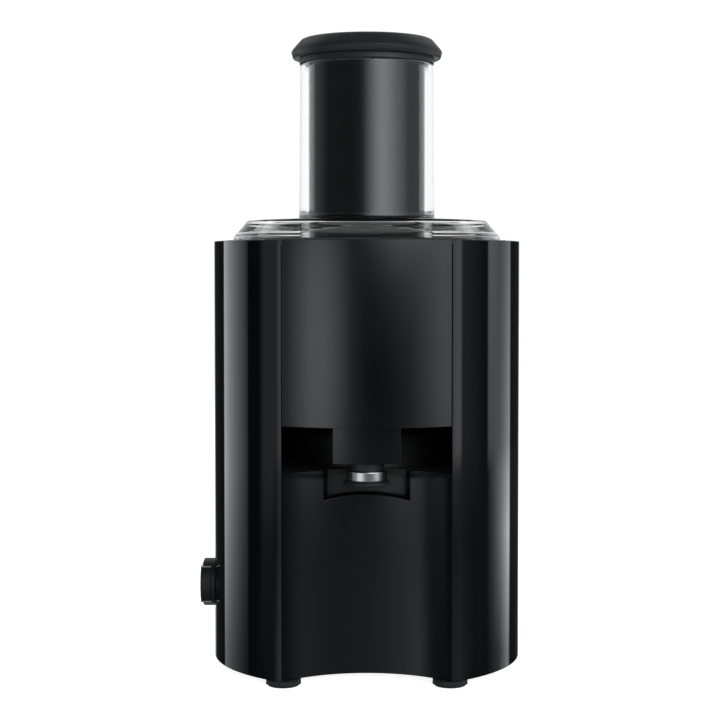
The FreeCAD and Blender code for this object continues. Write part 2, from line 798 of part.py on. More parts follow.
def field_coils():
    """One wound coil round each pole."""
    body = new_body("field_coils")
    low = "(rotor_radius - 2.5)"
    inner = "(pole_half + 0.3)"
    outer = f"({inner} + coil_width)"
    for start, end in ((low, f"{low} + coil_thick"), (f"-{low} - coil_thick", f"-{low}")):
        extrude(body, "Pad", "XZ_Plane", start, end,
                box(f"-{outer}", f"{STATOR_LOW} - coil_over", outer, f"{STATOR_TOP} + coil_over"),
                box(f"-{inner}", f"{STATOR_LOW} - 0.3", inner, f"{STATOR_TOP} + 0.3"))


def motor_screws():
    """Four long screws that clamp both brackets to the stator."""
    body = new_body("motor_screws")
    spots = [(f"{x}bolt_circle * cos(45)", f"{y}bolt_circle * cos(45)")
             for x in ("", "-") for y in ("", "-")]
    head = f"({LOWER_PLATE} - plate)"
    pad(body, f"{head} - 0.5", f"{UPPER_PLATE} + plate + 2", *[disc(x, y, "bolt_radius") for x, y in spots])
    pad(body, f"{head} - 3", head, *[disc(x, y, "bolt_radius + 1.7") for x, y in spots])


def motor_mounts():
    """Rubber buttons between the motor's frame and the deck."""
    body = new_body("motor_mounts")
    top = "(deck_top - plate)"
    spots = [(f"{x}mount_x", f"{y}mount_y") for x in ("", "-") for y in ("", "-")]
    pad(body, f"{top} - mount_height", top, *[disc(x, y, "mount_radius") for x, y in spots])


BRUSH_MIDDLE = f"({STATOR_TOP} + 5 + commutator_height / 2)"


def carbon_brushes():
    body = new_body("carbon_brushes")
    for low, high in (("commutator_radius + 0.2", "holder_reach - 10"),
                      ("10 - holder_reach", "-commutator_radius - 0.2")):
        extrude(body, "Pad", "YZ_Plane", low, high,
                box("-brush_half", f"{BRUSH_MIDDLE} - brush_half",
                    "brush_half", f"{BRUSH_MIDDLE} + brush_half"))


def brush_holders():
    """A sleeve round each brush, hung from the upper bracket."""
    body = new_body("brush_holders")
    room = "(brush_half + 0.1)"
    outer = f"({room} + holder_wall)"
    for low, high in (("commutator_radius + 3", "holder_reach"),
                      ("-holder_reach", "-commutator_radius - 3")):
        extrude(body, "Pad", "YZ_Plane", low, high,
                box(f"-{outer}", f"{BRUSH_MIDDLE} - {outer}", outer, UPPER_PLATE))
    for low, high in (("commutator_radius + 2", "holder_reach - 3"),
                      ("3 - holder_reach", "-commutator_radius - 2")):
        extrude(body, "Pocket", "YZ_Plane", low, high,
                box(f"-{room}", f"{BRUSH_MIDDLE} - {room}", room, f"{BRUSH_MIDDLE} + {room}"))


def motor_shaft():
    body = new_body("motor_shaft")
    top = f"({COUPLING_TOP} - 5)"
    turn(body, path(
        ("0", SHAFT_LOW),
        ("shaft_radius - 0.6", SHAFT_LOW),
        ("shaft_radius", f"{SHAFT_LOW} + 0.6"),
        ("shaft_radius", f"{top} - 0.6"),
        ("shaft_radius - 0.6", top),
        ("0", top),
    ))


def rotor_core():
    """The laminated armature with its winding slots."""
    body = new_body("rotor_core")
    tube(body, "shaft_radius", "rotor_radius", STATOR_LOW, STATOR_TOP)
    slot = pocket(body, f"{STATOR_LOW} - 1", f"{STATOR_TOP} + 1",
                  box("rotor_radius - slot_depth", "-slot_half", "rotor_radius + 1", "slot_half"))
    polar(body, slot, "slot_count")


def rotor_windings():
    """The copper end turns and the bars that lie in the slots."""
    body = new_body("rotor_windings")
    outer = "(rotor_radius - 3.2)"
    tube(body, "shaft_radius + 2", outer, f"{STATOR_LOW} - 8", STATOR_LOW)
    tube(body, "shaft_radius + 2", outer, STATOR_TOP, f"{STATOR_TOP} + 4.5")
    bar = pad(body, STATOR_LOW, STATOR_TOP,
              box("rotor_radius - slot_depth + 0.3", "0.2 - slot_half", outer, "slot_half - 0.2"))
    polar(body, bar, "slot_count")


def commutator():
    body = new_body("commutator")
    low = f"({STATOR_TOP} + 5)"
    tube(body, "shaft_radius", "commutator_radius", low, f"{low} + commutator_height")
    gap = pocket(body, f"{low} + 2", f"{low} + commutator_height + 1",
                 box("commutator_radius - 1", "-0.3", "commutator_radius + 1", "0.3"))
    polar(body, gap, "24")


def cooling_fan():
    body = new_body("cooling_fan")
    top = f"({FAN_LOW} + fan_height)"
    turn(body, path(
        ("shaft_radius", FAN_LOW),
        ("shaft_radius + 5", FAN_LOW),
        ("shaft_radius + 5", f"{top} - 2"),
        ("fan_radius", f"{top} - 2"),
        ("fan_radius", top),
        ("shaft_radius", top),
    ))
    blade = pad(body, FAN_LOW, f"{top} - 1",
                box("shaft_radius + 4", "-0.8", "fan_radius - 1", "0.8"))
    polar(body, blade, "blade_count")


def drive_coupling():
    """The splined boss on top of the shaft that drives the basket."""
    body = new_body("drive_coupling")
    turn(body, path(
        ("shaft_radius", COUPLING_LOW),
        ("coupling_radius", COUPLING_LOW),
        ("coupling_radius", f"{COUPLING_TOP} - 3"),
        ("coupling_radius - 2", COUPLING_TOP),
        ("0", COUPLING_TOP),
        ("0", f"{COUPLING_TOP} - 5"),
        ("shaft_radius", f"{COUPLING_TOP} - 5"),
    ))
    groove = pocket(body, f"{COUPLING_LOW} + 4", f"{COUPLING_TOP} + 1",
                    box("coupling_radius - spline_depth", "-1.5", "coupling_radius + 1", "1.5"))
    polar(body, groove, "spline_count")


# Basket -----------------------------------------------------------------------------------

def basket_frame():
    """The basket's floor, with the socket that drops over the drive coupling."""
    body = new_body("basket_frame")
    socket = "(coupling_radius + rest_gap)"
    socket_top = f"({COUPLING_TOP} + rest_gap)"
    turn(body, path(
        ("0", socket_top),
        (socket, socket_top),
        (socket, f"{COUPLING_LOW} + 8"),
        (HUB_RADIUS, f"{COUPLING_LOW} + 8"),
        (HUB_RADIUS, BASKET_FLOOR),
        ("basket_radius", BASKET_FLOOR),
        ("basket_radius", f"{FLOOR_TOP} + 3"),
        ("basket_radius - 2", f"{FLOOR_TOP} + 3"),
        ("basket_radius - 2", FLOOR_TOP),
        ("0", FLOOR_TOP),
    ))
    rib = pad(body, f"{BASKET_FLOOR} - 3", f"{BASKET_FLOOR} + 1",
              box(HUB_RADIUS + " - 0.5", "-1", "basket_radius - 4", "1"))
    polar(body, rib, "8")


def grater_disc():
    """The steel grating disc: rings of teeth and a spigot in the middle."""
    body = new_body("grater_disc")
    top = f"({FLOOR_TOP} + grater_plate)"
    turn(body, path(
        ("0", FLOOR_TOP),
        ("grater_radius", FLOOR_TOP),
        ("grater_radius", top),
        ("9", top),
        ("6", f"{top} + 1.2"),
        ("0", f"{top} + 1.2"),
    ))
    for ring in range(int(value("tooth_rings"))):
        radius = f"(14 + {ring} * (grater_radius - 17) / (tooth_rings - 1))"
        tooth = pad(body, f"{top} - 0.2", f"{top} + tooth_height", path(
            (f"{radius} - 0.9", "-0.5"),
            (f"{radius} + 0.9", f"{ring - 1} * 0.25"),
            (f"{radius} - 0.9", "0.5"),
        ))
        polar(body, tooth, f"tooth_count * ({ring} + 1) / 2")


def filter_mesh():
    """The conical filter wall."""
    body = new_body("filter_mesh")
    low = f"({FLOOR_TOP} + 3.1)"
    foot = "(basket_radius - 2)"
    turn(body, path(
        (foot, low),
        (f"{foot} + mesh_wall", low),
        ("mesh_top_radius + mesh_wall", MESH_TOP),
        ("mesh_top_radius", MESH_TOP),
    ))


def basket_rim():
    """The rolled ring that stiffens the basket's mouth."""
    body = new_body("basket_rim")
    low = f"({MESH_TOP} - 0.0)"
    top = f"({low} + rim_height - 0.6)"
    turn(body, path(
        ("mesh_top_radius", low),
        ("mesh_top_radius + mesh_wall + 2", low),
        ("rim_radius", f"{low} + 2"),
        ("rim_radius", f"{top} - 1"),
        ("rim_radius - 1", top),
        ("mesh_top_radius + 1", top),
        ("mesh_top_radius", f"{top} - 1"),
    ))


# Juice collector and nozzle ---------------------------------------------------------------

def juice_collector():
    """The bowl round the basket, with its ledge, centre tube and spout block."""
    body = new_body("juice_collector")
    inner = "(bowl_radius - bowl_wall)"
    tube_outer = f"({TUBE_INNER} + bowl_wall)"
    floor_top = f"({BOWL_FLOOR} + bowl_wall)"
    foot = "(dome_radius - 8)"
    turn(body, path(
        (TUBE_INNER, BOWL_FLOOR),
        (foot, BOWL_FLOOR),
        (foot, f"{DOME_TOP} + rest_gap"),
        (f"{foot} + bowl_wall", f"{DOME_TOP} + rest_gap"),
        (f"{foot} + bowl_wall", BOWL_FLOOR),
        ("bowl_radius", BOWL_FLOOR),
        ("bowl_radius", LEDGE_LOW),
        (LEDGE_RADIUS, LEDGE_LOW),
        (LEDGE_RADIUS, LEDGE_TOP),
        (inner, LEDGE_TOP),
        (inner, floor_top),
        (tube_outer, floor_top),
        (tube_outer, TUBE_TOP),
        (TUBE_INNER, TUBE_TOP),
    ))
    # notches that let the latches past
    pocket(body, f"{LEDGE_LOW} - 1", f"{LEDGE_TOP} + 1", *both_sides(
        f"{LATCH_IN} - 6", f"{LATCH_FRONT} - 1", "body_radius + 5", f"{LATCH_REAR} + 1"))
    # spout block, with the nozzle's bore and the juice channel above it
    front = f"{front_y('spout_half', 'spout_front')}"
    pad(body, SPOUT_LOW, f"{BOWL_FLOOR} + 1", path(
        ("-spout_half", front, "spout_front", "left"),
        ("spout_half", front),
        ("spout_half", "18 - bowl_radius"),
        ("-spout_half", "18 - bowl_radius"),
    ))
    pocket(body, f"{SPOUT_LOW} - 1", f"{BOWL_FLOOR} - 2",
           disc("0", f"-{SPOUT_PLACE}", "neck_radius + rest_gap"))
    pocket(body, f"{BOWL_FLOOR} - 3", f"{floor_top} + 1",
           disc("0", f"nozzle_bore + 1 - {inner}", "nozzle_bore"))


def collector_fascia():
    """The satin plate that closes the front between the fins."""
    body = new_body("collector_fascia")
    inner = "(body_radius - fascia_wall)"
    pad(body, FASCIA_LOW, RIM_TOP, path(
        ("-fascia_half", front_y("fascia_half"), "body_radius", "left"),
        ("fascia_half", front_y("fascia_half")),
        ("fascia_half", front_y("fascia_half", inner), inner, "right"),
        ("-fascia_half", front_y("fascia_half", inner)),
    ))
    # shelf that carries the plate on the bowl's wall above the spout
    bowl = "(bowl_radius + 0.1)"
    shelf_half = "(fascia_half - 6)"
    pad(body, FASCIA_LOW, f"{FASCIA_LOW} + 3", path(
        (f"-{shelf_half}", front_y(shelf_half, "(body_radius - 1)"), "body_radius - 1", "left"),
        (shelf_half, front_y(shelf_half, "(body_radius - 1)")),
        (shelf_half, front_y(shelf_half, bowl), bowl, "right"),
        (f"-{shelf_half}", front_y(shelf_half, bowl)),
    ))
    pocket(body, f"{FASCIA_LOW} - 1", f"{FASCIA_LOW} + 4", path(
        ("-spout_half - 0.1", "-body_radius + fascia_wall + 0.5"),
        ("spout_half + 0.1", "-body_radius + fascia_wall + 0.5"),
        ("spout_half + 0.1", "10 - bowl_radius"),
        ("-spout_half - 0.1", "10 - bowl_radius"),
    ))


def spout_nozzle():
    """The black sliding nozzle: a neck in the spout's bore and a lip below the trim ring."""
    body = new_body("spout_nozzle", y=f"-{SPOUT_PLACE}")
    turn(body, path(
        ("nozzle_bore", f"{LIP_LOW} + 0.4"),
        ("nozzle_bore + 0.4", LIP_LOW),
        (f"{LIP_RADIUS} - 0.5", LIP_LOW),
        (LIP_RADIUS, f"{LIP_LOW} + 0.5"),
        (LIP_RADIUS, f"{TRIM_LOW} - 0.9"),
        (f"{LIP_RADIUS} - 1.2", TRIM_LOW),
        ("neck_radius", TRIM_LOW),
        ("neck_radius", f"{NECK_TOP} - 2"),
        ("neck_radius - 1", f"{NECK_TOP} - 2"),
        ("neck_radius - 1", NECK_TOP),
        ("neck_radius", NECK_TOP),
        ("neck_radius", f"{NECK_TOP} + 1.5"),
        ("nozzle_bore", f"{NECK_TOP} + 1.5"),
    ))


def spout_ring():
    body = new_body("spout_ring", y=f"-{SPOUT_PLACE}")
    low = f"({TRIM_TOP} - trim_height)"
    turn(body, path(
        ("neck_radius", low),
        (f"{TRIM_RADIUS} - 0.4", low),
        (TRIM_RADIUS, f"{low} + 0.4"),
        (TRIM_RADIUS, f"{TRIM_TOP} - 0.7"),
        (f"{TRIM_RADIUS} - 0.7", TRIM_TOP),
        ("neck_radius", TRIM_TOP),
    ))


def nozzle_seal():
    """The ring in the neck's groove that stops the nozzle dripping."""
    body = new_body("nozzle_seal", y=f"-{SPOUT_PLACE}")
    tube(body, "neck_radius - 1", "neck_radius + 0.15", f"{NECK_TOP} - 1.9", f"{NECK_TOP} - 0.1")


# Lid, pusher, pulp bin --------------------------------------------------------------------

EAR_OUT = f"({LATCH_IN} - latch_lip - rest_gap)"


def lid_cover():
    """The clear lid, one piece with its feed chute and the two ears that the latches hold."""
    body = new_body("lid_cover")
    edge = "(lid_inset + lid_lean)"
    top = f"({edge} + lid_slope)"
    loft(body, "AdditiveLoft", (LID_LOW, egg("lid_inset")), (LID_EDGE_TOP, egg(edge)))
    loft(body, "AdditiveLoft", (LID_EDGE_TOP, egg(edge)), (LID_TOP, egg(top)))
    ears_inner = "(body_radius - lid_inset - 20)"
    pad(body, LID_LOW, f"{LID_LOW} + ear_height", *both_sides(
        ears_inner, f"{LATCH_FRONT} + 1", EAR_OUT, f"{LATCH_REAR} - 1"))
    chute_foot = f"({CHUTE_OUTER} + chute_flare)"
    turn(body, path(
        (CHUTE_BORE, CHUTE_LOW),
        (CHUTE_OUTER, CHUTE_LOW),
        (CHUTE_OUTER, f"{LID_TOP} - lid_wall"),
        (f"{chute_foot} + 1.5", f"{LID_TOP} - 1"),
        (f"{chute_foot} + 1.5", LID_TOP),
        (chute_foot, f"{LID_TOP} + 1.5"),
        (CHUTE_OUTER, CHUTE_TOP),
        (CHUTE_BORE, CHUTE_TOP),
    ))
    # hollow under the lid, which leaves the part of the chute that hangs into the basket
    under = f"({LID_TOP} - lid_wall)"
    inner_low = f"({edge} + lid_wall)"
    inner_top = f"({top} + lid_wall)"
    ring = disc("0", "0", CHUTE_OUTER)
    hollow_out(body, inner_low, inner_top, under, ring)
    pocket(body, f"{CHUTE_LOW} - 1", f"{LID_TOP} + 1", disc("0", "0", CHUTE_BORE))


def hollow_out(body, low_inset, top_inset, under, ring):
    """Cut the space below the lid in two steps, a straight one and a leaning one."""
    pocket(body, f"{LID_LOW} - 1", LID_EDGE_TOP, egg(low_inset), ring)
    steps = 4
    for step in range(steps):
        low = f"({LID_EDGE_TOP} + ({under} - {LID_EDGE_TOP}) * {step} / {steps})"
        high = f"({LID_EDGE_TOP} + ({under} - {LID_EDGE_TOP}) * {step + 1} / {steps})"
        inset = f"({low_inset} + ({top_inset} - {low_inset}) * {step + 1} / {steps})"
        pocket(body, low, high, egg(inset), ring)


def lid_seal():
    """The soft ring under the lid that closes it on the collector's ledge."""
    body = new_body("lid_seal")
    outer = "(body_radius - lid_inset - lid_lean - lid_wall - 0.4)"
    tube(body, f"{outer} - 2.2", outer, LID_LOW, f"{LID_LOW} + 2.4")


def pusher_tube():
    """The hollow food pusher, closed at the bottom."""
    body = new_body("pusher_tube")
    inner = "(pusher_radius - pusher_wall)"
    turn(body, path(
        ("0", PUSHER_LOW),
        ("pusher_radius - 2", PUSHER_LOW),
        ("pusher_radius", f"{PUSHER_LOW} + 2"),
        ("pusher_radius", f"{CHUTE_TOP} + 2.3"),
        (inner, f"{CHUTE_TOP} + 2.3"),
        (inner, f"{PUSHER_LOW} + pusher_wall"),
        ("0", f"{PUSHER_LOW} + pusher_wall"),
    ))
    # the key slot that runs down the back keeps the pusher from turning
    pocket(body, f"{PUSHER_LOW} + 8", f"{CHUTE_TOP} + 3",
           box("-2", "pusher_radius - 1.2", "2", "pusher_radius + 1"))


def pusher_cap():
    """The matte cap that closes the pusher and rests on the chute's mouth."""
    body = new_body("pusher_cap")
    turn(body, path(
        ("pusher_radius + 0.1", CAP_LOW),
        (CAP_NECK, CAP_LOW),
        (CAP_NECK, f"{CAP_LOW} + 3.4"),
        (f"{CAP_RADIUS} - 1.6", f"{CAP_LOW} + 3.4"),
        (f"{CAP_RADIUS} - 1", f"{CAP_LOW} + 4"),
        (CAP_RADIUS, f"{CAP_LOW} + 7.4"),
        (f"{CAP_RADIUS} - 0.8", f"{CAP_LOW} + 9"),
        (f"{CAP_RADIUS} - cap_slope + 1", f"{CAP_TOP} - 0.7"),
        (f"{CAP_RADIUS} - cap_slope - 0.6", CAP_TOP),
        ("4", f"{CAP_TOP} - 0.4"),
        ("0", f"{CAP_TOP} - 0.4"),
        ("0", f"{CAP_TOP} - 4"),
        ("pusher_radius + 0.1", f"{CAP_TOP} - 4"),
    ))
    # inner spigot in the tube's mouth
    inner = "(pusher_radius - pusher_wall - 0.1)"
    pad(body, f"{CHUTE_TOP} - 8", f"{CAP_TOP} - 3", disc("0", "0", inner), disc("0", "0", f"{inner} - 2.5"))


def pulp_container():
    """The bin behind the motor: its rim is flush with the casing's."""
    body = new_body("pulp_container")
    cavity_front = f"({BIN_FRONT} + bin_wall)"
    floor_top = "(bin_bottom + bin_wall)"
    pad(body, "bin_bottom", RIM_TOP, rear_part("0", BIN_FRONT))
    pocket(body, floor_top, LEDGE_LOW, rear_part("bin_wall", cavity_front))
    pocket(body, f"{LEDGE_LOW} - 1", ABOVE, rear_part("bin_ledge", cavity_front))
    pocket(body, LEDGE_TOP, ABOVE, rear_part("bin_wall", BIN_FRONT))
    # the front wall stops below the collector's ledge
    half = side_x(cavity_front, "bin_wall")
    pocket(body, f"{LEDGE_LOW} - rest_gap", ABOVE, disc("0", "0", f"{LEDGE_RADIUS} + rest_gap"))
    pocket(body, f"{LEDGE_LOW} - rest_gap", ABOVE,
           box(f"-{half}", f"{BIN_FRONT} - 1", half, f"{cavity_front} + rest_gap"))


def bin_handle():
    """The grip on the back of the bin, which the fingers go behind."""
    body = new_body("bin_handle")
    rear = f"({REAR_CENTRE} + rear_radius)"
    outer = f"({rear} + grip_reach)"
    extrude(body, "Pad", "YZ_Plane", "-grip_half", "grip_half", path(
        (f"{rear} - 6", GRIP_LOW),
        (f"{rear} + 3", GRIP_LOW),
        (outer, f"{GRIP_LOW} + 13"),
        (outer, f"{GRIP_HIGH} - 6"),
        (f"{outer} - 6", GRIP_HIGH),
        (f"{rear} - 6", GRIP_HIGH),
        (f"{rear} - 6", f"{GRIP_HIGH} - grip_thick"),
        (f"{outer} - grip_thick - 1", f"{GRIP_HIGH} - grip_thick"),
        (f"{outer} - grip_thick", f"{GRIP_HIGH} - grip_thick - 1"),
        (f"{outer} - grip_thick", f"{GRIP_LOW} + grip_thick + 10"),
        (f"{rear} + 1", f"{GRIP_LOW} + grip_thick"),
        (f"{rear} - 6", f"{GRIP_LOW} + grip_thick"),
    ))
    pocket(body, f"{GRIP_LOW} - 1", f"{GRIP_HIGH} + 1", disc("0", REAR_CENTRE, "rear_radius + 0.05"))


# Latches ----------------------------------------------------------------------------------

def latch(label, sign):
    """A side clamp that pivots at its foot and stands over the lid's ear."""
    body = new_body(label)
    outer = f"{sign}{LATCH_OUT}"
    inner = f"{sign}{LATCH_IN}"
    lip = f"{sign}({LATCH_IN} - latch_lip)"
    turn_way = ("left", "left") if sign == "" else ("right", "right")
    extrude(body, "Pad", "XZ_Plane", LATCH_FRONT, LATCH_REAR, path(
        (inner, LATCH_PIVOT, "latch_thick / 2", turn_way[0]),
        (f"{sign}{LATCH_MIDDLE}", LATCH_FOOT, "latch_thick / 2", turn_way[1]),
        (outer, LATCH_PIVOT),
        (outer, f"{LATCH_TOP} - 1.5"),
        (f"{sign}({LATCH_OUT} - 1.5)", LATCH_TOP),
        (lip, LATCH_TOP),
        (lip, LID_LOW),
        (inner, LID_LOW),
    ))
    extrude(body, "Pocket", "XZ_Plane", f"{LATCH_FRONT} - 1", f"{LATCH_REAR} + 1",
            disc(f"{sign}{LATCH_MIDDLE}", LATCH_PIVOT, "pin_radius + pin_gap"))
    # finger grooves near the top
    for number in range(4):
        height = f"({LATCH_TOP} - 12 - {number} * 4)"
        spot_low = f"{LATCH_OUT} - 0.8"
        spot_high = f"{LATCH_OUT} + 1"
        low, high = (spot_low, spot_high) if sign == "" else (f"-({spot_high})", f"-({spot_low})")
        extrude(body, "Pocket", "YZ_Plane", low, high,
                box(f"{LATCH_FRONT} + 2", height, f"{LATCH_REAR} - 2", f"{height} + 1.6"))


def latch_pins():
    body = new_body("latch_pins")
    extrude(body, "Pad", "XZ_Plane", f"{LATCH_FRONT} - wall + 0.2", f"{LATCH_REAR} + wall - 0.2",
            disc(LATCH_MIDDLE, LATCH_PIVOT, "pin_radius"),
            disc(f"-{LATCH_MIDDLE}", LATCH_PIVOT, "pin_radius"))


# Knob and electrics -----------------------------------------------------------------------

KNOB_BACK = "(knob_reach - knob_depth)"


def knob_body():
    """The speed dial: a round base with a lower cheek each side of the grip."""
    body = new_body("knob_body")
    face = "(knob_reach - knob_chamfer)"
    cheek = "(knob_reach - 1)"
    slot = "(strip_place + strip_thick / 2)"
    circle = disc("0", "knob_height", "knob_radius")
    extrude(body, "Pad", "YZ_Plane", f"-{face}", f"-{KNOB_BACK}", circle)
    extrude(body, "Pad", "YZ_Plane", f"-{cheek}", f"-{face}",
            disc("0", "knob_height", "knob_radius - 0.8"))
    extrude(body, "Pocket", "YZ_Plane", f"-{cheek} - 1", f"-{KNOB_BACK} - 3",
            box("-knob_radius - 1", f"knob_height - {slot}", "knob_radius + 1", f"knob_height + {slot}"))
    extrude(body, "Pocket", "YZ_Plane", f"-{KNOB_BACK} - 2", f"-{KNOB_BACK} + 1",
            disc("0", "knob_height", "spindle_radius"))


def knob_grip():
    """The wide grip bar across the dial."""
    body = new_body("knob_grip")
    half = "(strip_place - strip_thick / 2)"
    edge = f"sqrt(knob_radius^2 - {half}^2)"
    extrude(body, "Pad", "YZ_Plane", "-knob_reach", f"-{KNOB_BACK} - 3", path(
        (f"-{edge}", f"knob_height - {half}"),
        (edge, f"knob_height - {half}", "knob_radius", "left"),
        (edge, f"knob_height + {half}"),
        (f"-{edge}", f"knob_height + {half}", "knob_radius", "left"),
    ))


def knob_trim():
    """Two bright strips that edge the grip bar."""
    body = new_body("knob_trim")
    inner = "(strip_place - strip_thick / 2)"
    outer = "(strip_place + strip_thick / 2)"
    edge = f"sqrt(knob_radius^2 - {outer}^2)"
    extrude(body, "Pad", "YZ_Plane", "-knob_reach - 0.2", f"-{KNOB_BACK} - 3",
            box(f"-{edge}", f"knob_height + {inner}", edge, f"knob_height + {outer}"),
            box(f"-{edge}", f"knob_height - {outer}", edge, f"knob_height - {inner}"))


SWITCH_FACE = "(body_radius - wall - 4)"


def knob_shaft():
    body = new_body("knob_shaft")
    extrude(body, "Pad", "YZ_Plane", f"-{KNOB_BACK} - 2", f"-{SWITCH_FACE} + 12",
            disc("0", "knob_height", "spindle_radius"))


def switch_body():
    """The rotary switch behind the knob."""
    body = new_body("switch_body")
    extrude(body, "Pad", "YZ_Plane", f"-{SWITCH_FACE}", f"-{SWITCH_FACE} + switch_depth",
            box("-switch_half", "knob_height - switch_half", "switch_half", "knob_height + switch_half"))
    extrude(body, "Pad", "YZ_Plane", "-body_radius + wall + rest_gap", f"-{SWITCH_FACE} + 1",
            disc("0", "knob_height", "spindle_radius + 3"))
    extrude(body, "Pocket", "YZ_Plane", "-body_radius", f"-{SWITCH_FACE} + 13",
            disc("0", "knob_height", "spindle_radius + rest_gap"))
    for number in range(3):
        y = f"({number - 1} * 7)"
        extrude(body, "Pad", "YZ_Plane",
                f"-{SWITCH_FACE} + switch_depth - 1", f"-{SWITCH_FACE} + switch_depth + 6",
                box(f"{y} - 2.4", "knob_height - 0.4", f"{y} + 2.4", "knob_height + 0.4"))


def control_board():
    """The circuit board that stands on the base plate beside the motor."""
    body = new_body("control_board")
    extrude(body, "Pad", "YZ_Plane", "board_x", "board_x + board_thick",
            box("-board_half", f"{BASE_TOP} + 0.2", "board_half", "board_top"))


def board_parts():
    """The capacitor, triac heat sink, relay and terminal block on the board."""
    body = new_body("board_parts")
    low = "(board_x - 12)"
    extrude(body, "Pad", "YZ_Plane", "board_x - 9", "board_x", box("-20", "16", "-6", "34"))
    extrude(body, "Pad", "YZ_Plane", low, "board_x", box("2", "40", "20", "43"), box("2", "46", "20", "49"))
    extrude(body, "Pad", "YZ_Plane", "board_x - 8", "board_x", box("2", "14", "18", "30"))
    extrude(body, "Pad", "YZ_Plane", "board_x - 11", "board_x", disc("-14", "52", "6"))


def interlock_switch():
    """The switch under the deck that cuts the power when the lid is off."""
    body = new_body("interlock_switch")
    top = "(deck_top - plate - 0.2)"
    pad(body, f"{top} - 16", top, box("board_x - 4", "-14", "board_x + 7", "14"))
    pad(body, f"{top} - 21", f"{top} - 15", box("board_x - 1", "-10", "board_x", "-5"),
        box("board_x - 1", "5", "board_x", "10"))


# The whole juicer -------------------------------------------------------------------------

def build():
    for make in (
        housing_shell, front_panel, motor_deck, base_plate, rubber_feet, base_screws, deck_screws,
        cord_gland, lower_bracket, upper_bracket, shaft_seal, stator_core, field_coils, motor_screws,
        motor_mounts, carbon_brushes, brush_holders, motor_shaft, rotor_core, rotor_windings,
        commutator, cooling_fan, drive_coupling, basket_frame, grater_disc, filter_mesh, basket_rim,
        juice_collector, collector_fascia, spout_nozzle, spout_ring, nozzle_seal, lid_cover,
        lid_seal, pusher_tube, pusher_cap, pulp_container, bin_handle, latch_pins, knob_body,
        knob_grip, knob_trim, knob_shaft, switch_body, control_board, board_parts, interlock_switch,
    ):
        make()
    bearing("lower_bearing", f"{LOWER_PLATE} - bearing_height")
    bearing("upper_bearing", UPPER_PLATE)
    latch("latch_right", "")
    latch("latch_left", "-")


def check():
    """Stop if any object failed or any piece is missing or broken."""
    for item in doc.Objects:
        if "Invalid" in item.State or "Error" in item.State:
            raise ValueError(f"{item.Label} failed: {item.State}")
    for body in bodies:
        if body.Shape.isNull() or not body.Shape.isValid() or not body.Shape.Solids:
            raise ValueError(f"{body.Label} has no sound solid")


build()
doc.recompute()
check()
os.makedirs("parts", exist_ok=True)
for body in bodies:
    body.Shape.exportStep(f"parts/{body.Label}.step")
    print(body.Label, len(body.Shape.Solids), round(body.Shape.Volume))
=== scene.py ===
import json
import math

import bmesh
import bpy
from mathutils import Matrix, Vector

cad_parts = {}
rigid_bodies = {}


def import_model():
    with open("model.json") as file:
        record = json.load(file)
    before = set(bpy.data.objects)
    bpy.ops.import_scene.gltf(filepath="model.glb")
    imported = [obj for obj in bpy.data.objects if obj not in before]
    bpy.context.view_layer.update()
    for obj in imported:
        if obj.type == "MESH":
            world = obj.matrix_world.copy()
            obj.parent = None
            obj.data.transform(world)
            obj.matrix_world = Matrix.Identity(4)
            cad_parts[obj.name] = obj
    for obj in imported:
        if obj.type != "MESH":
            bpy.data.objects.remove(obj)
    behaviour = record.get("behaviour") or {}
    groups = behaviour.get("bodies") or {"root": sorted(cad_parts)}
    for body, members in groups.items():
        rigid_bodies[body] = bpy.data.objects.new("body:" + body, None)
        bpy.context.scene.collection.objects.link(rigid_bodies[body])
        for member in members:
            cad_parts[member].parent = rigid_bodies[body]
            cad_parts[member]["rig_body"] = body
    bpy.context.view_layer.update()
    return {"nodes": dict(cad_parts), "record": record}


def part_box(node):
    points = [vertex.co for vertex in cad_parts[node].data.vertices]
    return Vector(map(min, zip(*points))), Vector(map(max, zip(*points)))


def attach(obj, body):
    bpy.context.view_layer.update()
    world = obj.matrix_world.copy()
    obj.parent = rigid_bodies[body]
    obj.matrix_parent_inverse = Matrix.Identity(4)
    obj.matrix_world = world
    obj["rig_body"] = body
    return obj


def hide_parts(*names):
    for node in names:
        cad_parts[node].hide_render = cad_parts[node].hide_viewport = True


# Looks for the centrifugal juicer. Lengths are in metres in the CAD frame: +Z up, the
# spout faces -Y, and the origin is on the table below the drive axis.

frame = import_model()
nodes = frame["nodes"]
MM = 0.001


# Materials ------------------------------------------------------------------------------

def new_material(name):
    material = bpy.data.materials.new(name)
    material.use_nodes = True
    tree = material.node_tree
    tree.nodes.clear()
    output = tree.nodes.new("ShaderNodeOutputMaterial")
    shader = tree.nodes.new("ShaderNodeBsdfPrincipled")
    tree.links.new(shader.outputs["BSDF"], output.inputs["Surface"])
    return material, tree, shader


def add(tree, kind, inputs=None, **settings):
    """A node with its settings and input values. An input given a socket is linked to it."""
    node = tree.nodes.new("ShaderNode" + kind)
    for key, setting in settings.items():
        setattr(node, key, setting)
    for key, given in (inputs or {}).items():
        if isinstance(given, bpy.types.NodeSocket):
            tree.links.new(given, node.inputs[key])
        else:
            node.inputs[key].default_value = given
    return node


def noise(tree, scale, stretch=(1, 1, 1), detail=3.0):
    """Noise in object space, its cells made longer along an axis by a small stretch there."""
    place = add(tree, "TexCoord").outputs["Object"]
    spread = add(tree, "Mapping", {"Vector": place, "Scale": stretch})
    return add(tree, "TexNoise", {"Vector": spread.outputs["Vector"], "Scale": scale,
                                  "Detail": detail}).outputs["Fac"]


def bands(tree, scale, axis="Z", distortion=0.0):
    """Even bands across an axis, for windings and stacked sheets."""
    place = add(tree, "TexCoord").outputs["Object"]
    return add(tree, "TexWave", {"Vector": place, "Scale": scale, "Distortion": distortion},
               bands_direction=axis).outputs["Fac"]


